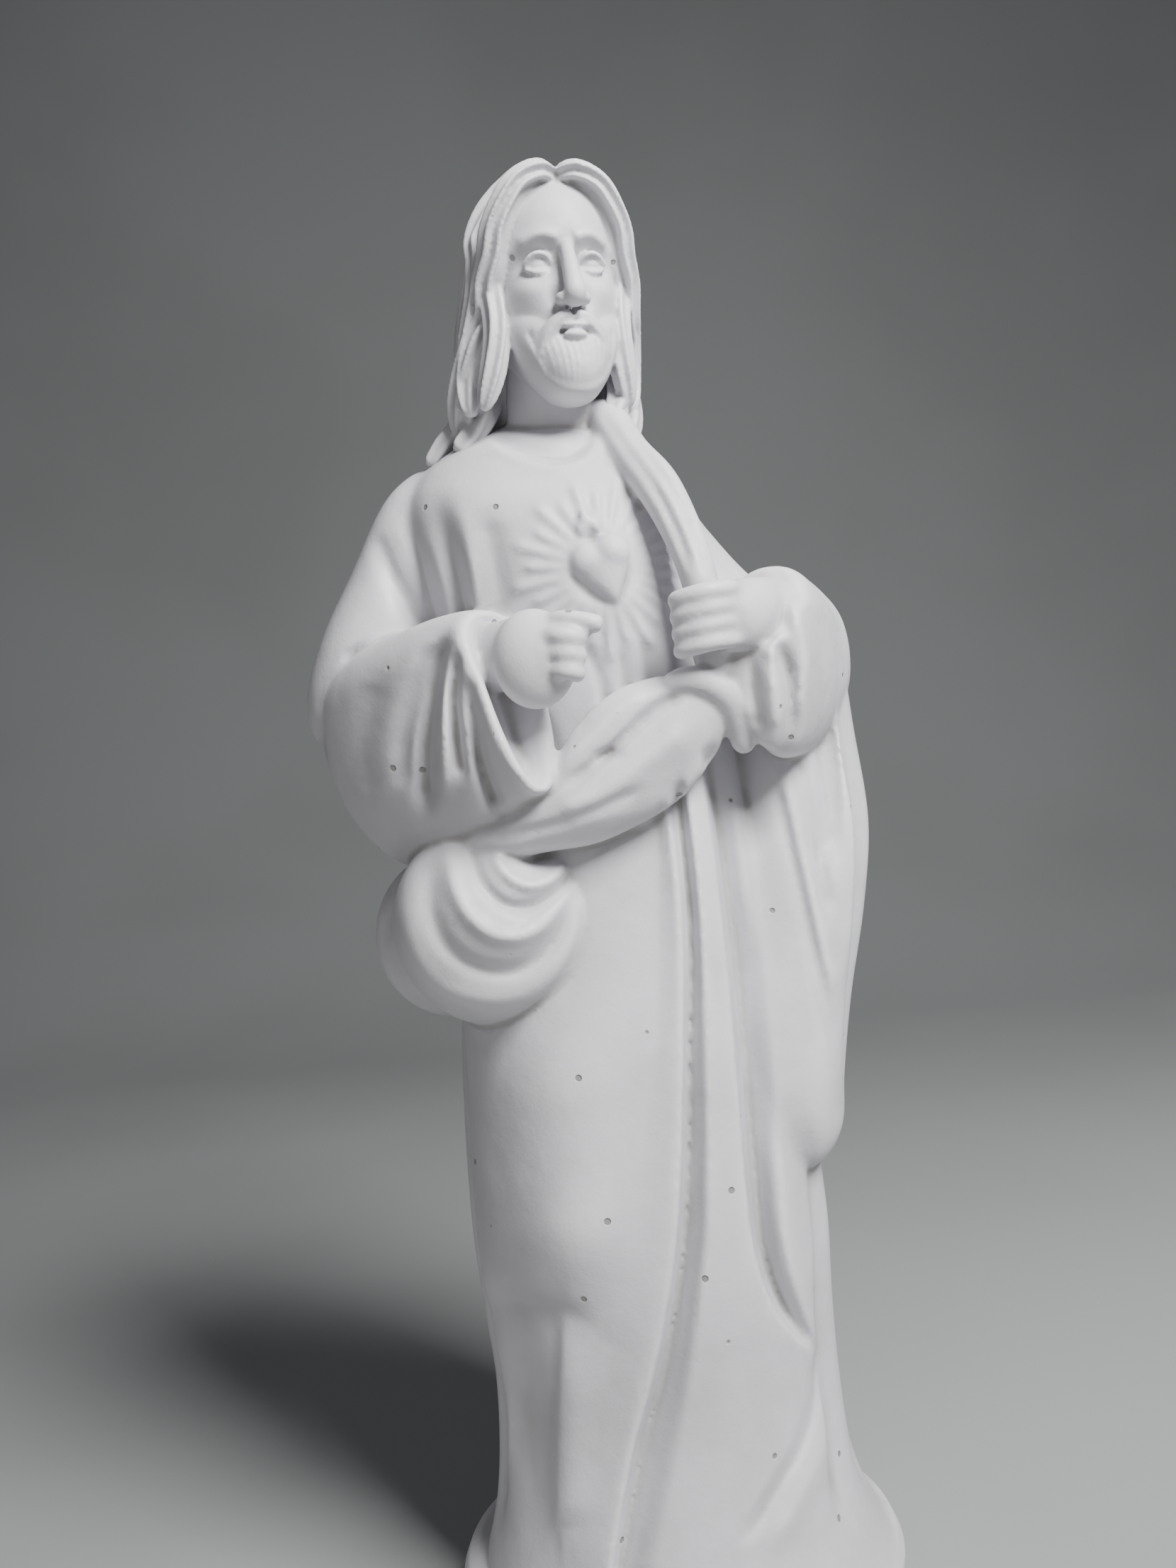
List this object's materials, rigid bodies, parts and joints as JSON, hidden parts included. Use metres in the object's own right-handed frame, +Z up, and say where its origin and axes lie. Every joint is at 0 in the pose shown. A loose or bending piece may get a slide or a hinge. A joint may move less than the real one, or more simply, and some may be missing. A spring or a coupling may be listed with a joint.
{
  "type": "religious statuette",
  "caption": "Unpainted white plaster statuette of a robed, bearded standing figure showing a radiant heart, on a low round base.",
  "frame": {"origin": "middle of the underside, on the surface the base stands on", "axes": "+Z up the figure, -Y the way the chest faces, +X towards the figure's left arm"},
  "size_m": [0.1146, 0.0958, 0.3],
  "materials": {
    "plaster": "unpainted white casting plaster, satin-matt"
  },
  "bodies": {
    "root": {"statue": "plaster"}
  },
  "joints": []
}
